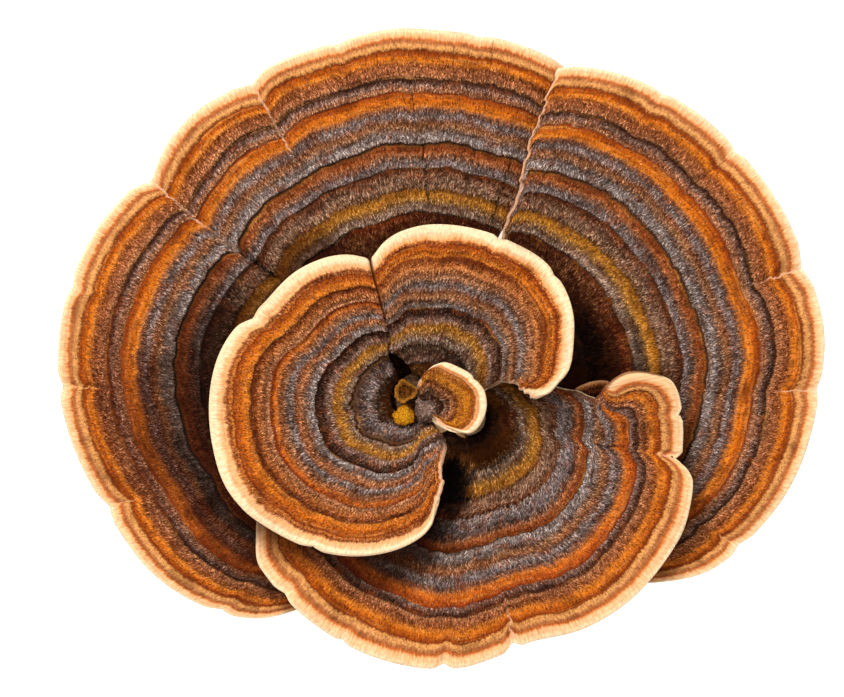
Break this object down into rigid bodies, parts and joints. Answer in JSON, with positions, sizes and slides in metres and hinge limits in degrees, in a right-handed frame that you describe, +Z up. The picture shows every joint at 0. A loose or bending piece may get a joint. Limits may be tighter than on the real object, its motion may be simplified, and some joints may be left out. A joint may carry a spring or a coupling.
{
  "type": "turkey tail fungus",
  "caption": "Rosette of thin banded bracket fungus caps on one woody foot, cut off flat so that it rests level.",
  "frame": {"origin": "middle of the flat cut face under the foot", "axes": "+Z up, away from the cut face; seen from straight above, +X is to the right across the widest caps and +Y is towards the large back caps"},
  "size_m": [0.1106, 0.0921, 0.0274],
  "materials": {
    "cap_velvet": "matte",
    "foot_wood": "matte",
    "bud_brown": "matte",
    "bud_gold": "matte"
  },
  "bodies": {
    "root": {"foot": "foot_wood", "back_cap_left": "cap_velvet", "back_cap_right": "cap_velvet", "front_cap": "cap_velvet", "upper_cap": "cap_velvet", "centre_cap": "cap_velvet", "side_flap": "cap_velvet", "brown_bud": "bud_brown", "gold_bud": "bud_gold"}
  },
  "joints": []
}
